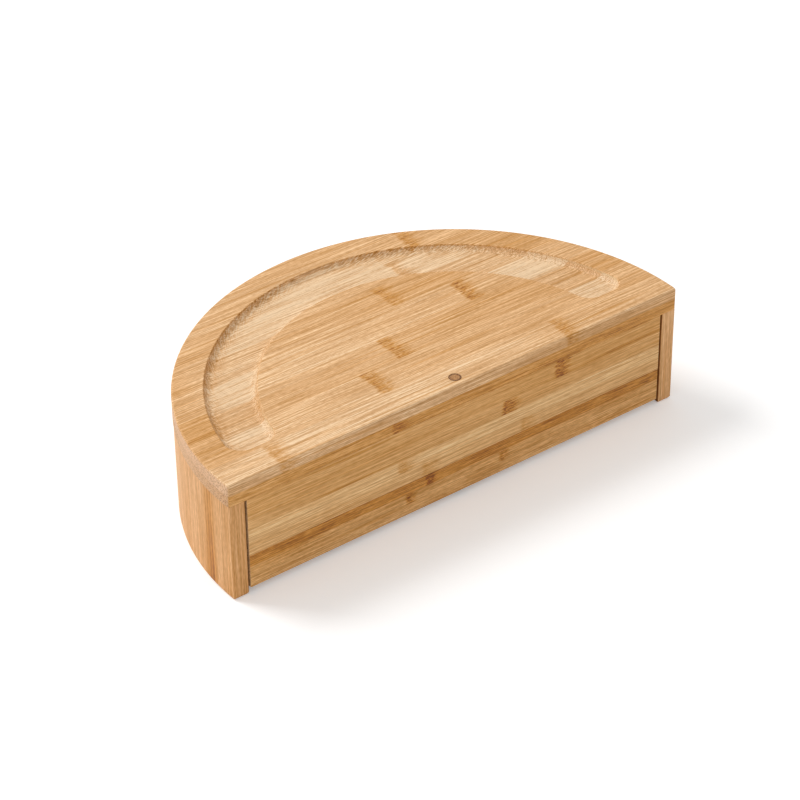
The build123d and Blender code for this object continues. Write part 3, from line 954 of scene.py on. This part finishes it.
# Curved wall under the board
wall = plate(wall_outer_radius, front_y, 0.0, wall_top, inner_radius=wall_inner_radius)
round_over(wall, edges_at(wall, 0.0), wall_foot_round)
round_over(wall, upright_corners(wall), wall_corner_round, 3)
make_piece(wall, "side_wall", "housing", wall_bamboo, ["curved_wall"])

# Plug over the screw: its top edge is broken, so a dark ring shows round it
plug = rod(plug_radius, plug_bottom, plug_top)
round_over(plug, edges_at(plug, plug_top), plug_edge_round, 3)
make_piece(plug, "pivot_cap", "housing", plug_material, ["pivot_plug"])

# Front rail of the tray, with the upper bush's hole
rail = plate(tray_radius, front_y, base_top, rail_top, high_y=rail_back_y)
round_over(rail, edges_at(rail, rail_top, y=front_y), rail_edge_round, 2)
round_over(rail, edges_at(rail, base_top, y=front_y), seam_chamfer, 1)
round_over(rail, upright_corners(rail), tray_corner_round, 2)
rail = drill(rail, bush_hole_radius, base_top - overrun, tray_top + overrun)
rail = drill(rail, flange_hole_radius, flange_bottom, tray_top + overrun)
make_piece(rail, "tray_rail", "tray", rail_bamboo, ["tray_front"])

# Curved wall of the tray
tray_side = plate(tray_radius, rail_back_y, base_top, tray_top, inner_radius=tray_inner_radius)
round_over(tray_side, edges_at(tray_side, tray_top, not_y=rail_back_y), tray_edge_round, 3)
make_piece(tray_side, "tray_side", "tray", tray_wall_bamboo, ["tray_wall"])

# Partition of the tray
divider = plate(tray_inner_radius - glue_gap, divider_low.y, base_top, divider_high.z,
                high_y=divider_high.y)
divider_edges = edges_at(divider, divider_high.z, y=divider_low.y)
divider_edges += edges_at(divider, divider_high.z, y=divider_high.y)
round_over(divider, divider_edges, tray_edge_round, 3)
make_piece(divider, "tray_partition", "tray", rail_bamboo, ["tray_divider"])

# Base of the tray, from its lowest layer up, with the nut's recess and the lower bush's hole
for layer, base_bamboo in enumerate(base_bamboos):
    low = base_bottom + layer * ply
    base = plate(tray_radius, front_y, low, low + ply)
    if layer == 0:
        round_over(base, edges_at(base, low), seam_chamfer, 2)
    round_over(base, upright_corners(base), tray_corner_round, 2)
    base = drill(base, bush_hole_radius, low - overrun, low + ply + overrun)
    if low < nut_recess_top:
        recess_end = min(nut_recess_top, low + ply + overrun)
        base = drill(base, nut_recess_radius, low - overrun, recess_end)
    make_piece(base, f"tray_base_layer_{layer + 1}", "tray", base_bamboo,
               [f"tray_base_ply_{layer + 1}"])

# Five moulded glides under the tray
glides = bmesh.new()
for degrees in glide_angles:
    way_out = Vector((cos(radians(degrees)), sin(radians(degrees)), 0)) * glide_ring_radius
    middle = Matrix.Translation((pin.x + way_out.x, pin.y + way_out.y, base_bottom / 2))
    bmesh.ops.create_cone(glides, cap_ends=True, segments=48, radius1=glide_radius,
                          radius2=glide_radius, depth=base_bottom, matrix=middle)
round_over(glides, edges_at(glides, 0.0), glide_edge_round)
make_piece(glides, "tray_feet", "tray", glide_material, ["tray_glides"])

# Camera at the photograph's place
camera_data = bpy.data.cameras.new("camera")
camera_data.lens = 130.56
camera_data.sensor_width = 36.0
camera = bpy.data.objects.new("camera", camera_data)
camera.location = (-0.77722, -1.06820, 0.94336)
camera.rotation_euler = Euler((radians(55.014), radians(0.566), radians(-37.023)))
bpy.context.scene.collection.objects.link(camera)
bpy.context.scene.camera = camera

# Pale floor, which glows a little for the camera alone
floor_mesh = bpy.data.meshes.new("floor")
floor_shape = bmesh.new()
bmesh.ops.create_grid(floor_shape, x_segments=1, y_segments=1, size=4.0)
floor_shape.to_mesh(floor_mesh)
floor_shape.free()
floor = bpy.data.objects.new("floor", floor_mesh)
bpy.context.scene.collection.objects.link(floor)
floor_material, tree, surface = new_material("white_paper_floor")
seen = add(tree, "ShaderNodeLightPath", out="Is Camera Ray")
glow = add(tree, "ShaderNodeMath", {0: seen, 1: 0.25}, operation="MULTIPLY")
matte = add(tree, "ShaderNodeBsdfPrincipled",
            {"Base Color": linear("#F7F7F7"), "Roughness": 0.9,
             "Emission Color": linear("#FFFFFF"), "Emission Strength": glow})
tree.links.new(matte, surface)
floor_mesh.materials.append(floor_material)

# Even light from all round, from a world that the camera sees as white
world = bpy.data.worlds.new("studio")
bpy.context.scene.world = world
world.use_nodes = True
tree = world.node_tree
tree.nodes.clear()
seen = add(tree, "ShaderNodeLightPath", out="Is Camera Ray")
strength = add(tree, "ShaderNodeMapRange", {"Value": seen, "To Min": 0.6, "To Max": 1.0})
background = add(tree, "ShaderNodeBackground", {"Color": linear("#FFFFFF"), "Strength": strength})
world_output = tree.nodes.new("ShaderNodeOutputWorld")
tree.links.new(background, world_output.inputs["Surface"])

# A broad square lamp behind the board's left shoulder, which looks at the board's middle
lamp_data = bpy.data.lights.new("key_lamp", "AREA")
lamp_data.size = 1.26
lamp_data.energy = 50.0
lamp = bpy.data.objects.new("key_lamp", lamp_data)
lamp.location = (-0.98, 1.68, 2.31)
aim = Vector((0, 0, board_middle)) - lamp.location
lamp.rotation_euler = aim.to_track_quat("-Z", "Y").to_euler()
bpy.context.scene.collection.objects.link(lamp)

bpy.context.scene.view_settings.view_transform = "Standard"
